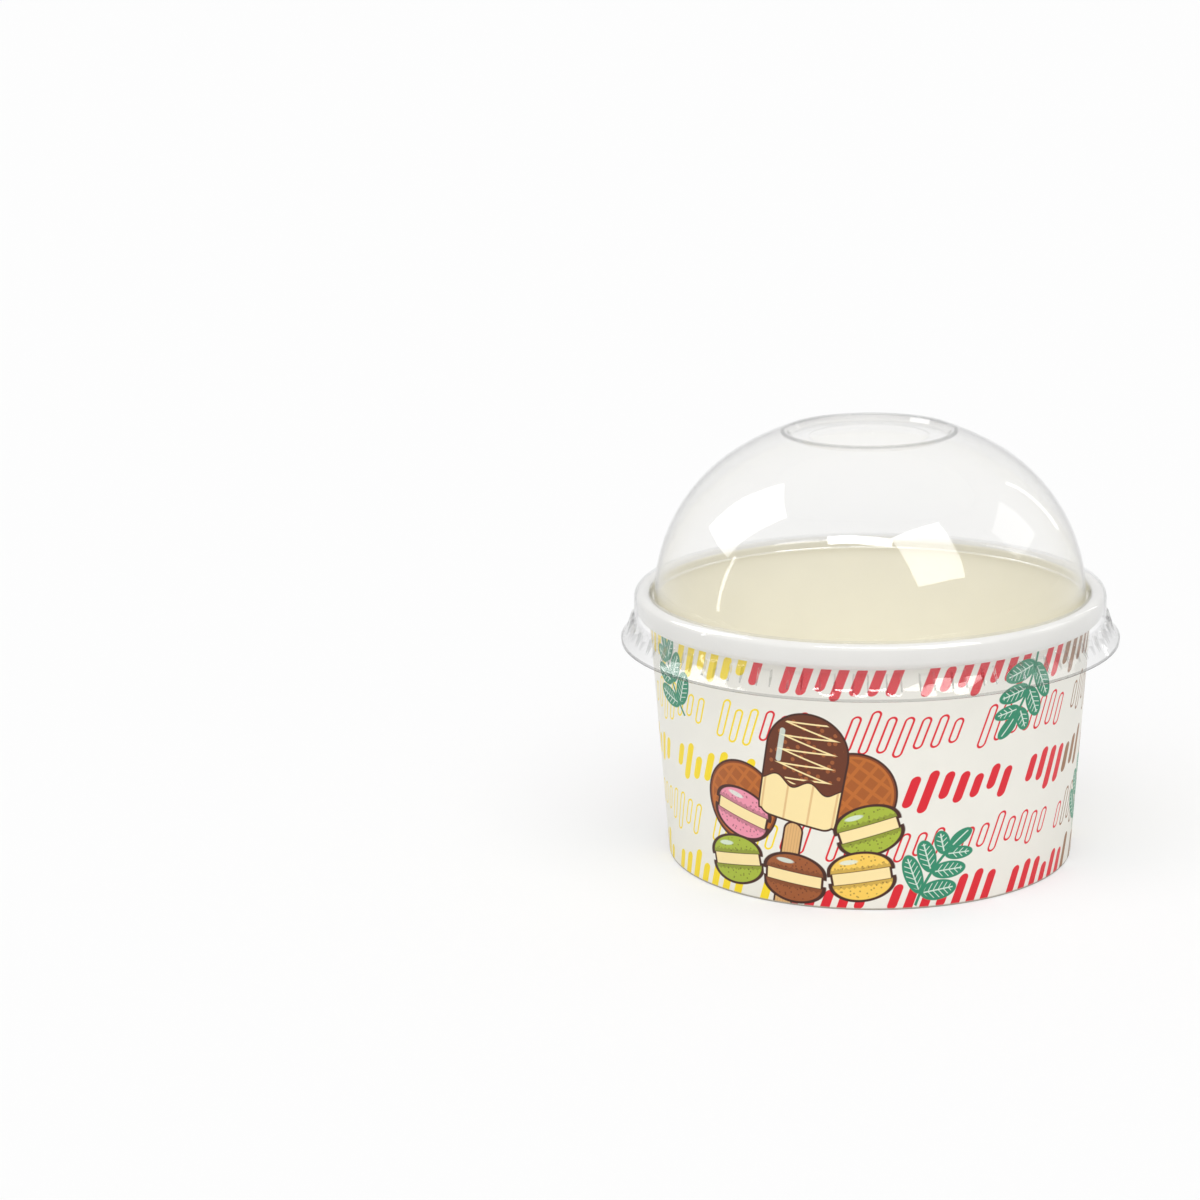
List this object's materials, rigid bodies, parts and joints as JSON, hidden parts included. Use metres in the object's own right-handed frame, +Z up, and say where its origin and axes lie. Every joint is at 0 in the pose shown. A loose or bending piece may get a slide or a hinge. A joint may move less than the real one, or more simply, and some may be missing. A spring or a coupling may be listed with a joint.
{
  "type": "paper dessert cup with domed lid",
  "caption": "Tapered round paper dessert cup with a rolled rim and recessed bottom, under a clear lift-off domed lid with a hole in its top.",
  "frame": {"origin": "middle of the foot ring, on the surface the cup stands on", "axes": "+Z up along the cup's axis, towards the hole in the lid; -Y is the front shown in the render, and the wall's seam is at the back on +Y"},
  "size_m": [0.1006, 0.1006, 0.0872],
  "materials": {
    "printed_paper": "satin coated board, printed outside, cream inside",
    "bottom_paper": "satin coated board, cream",
    "clear_lid": "clear gloss sheet"
  },
  "bodies": {
    "cup": {"cup_sidewall": "printed_paper", "bottom_disc": "bottom_paper"},
    "lid": {"dome_lid": "clear_lid"}
  },
  "joints": [
    {"name": "lid_lift", "type": "slide", "parent": "cup", "child": "lid", "axis": [0, 0, 1], "range_m": [0, 0.04]}
  ]
}
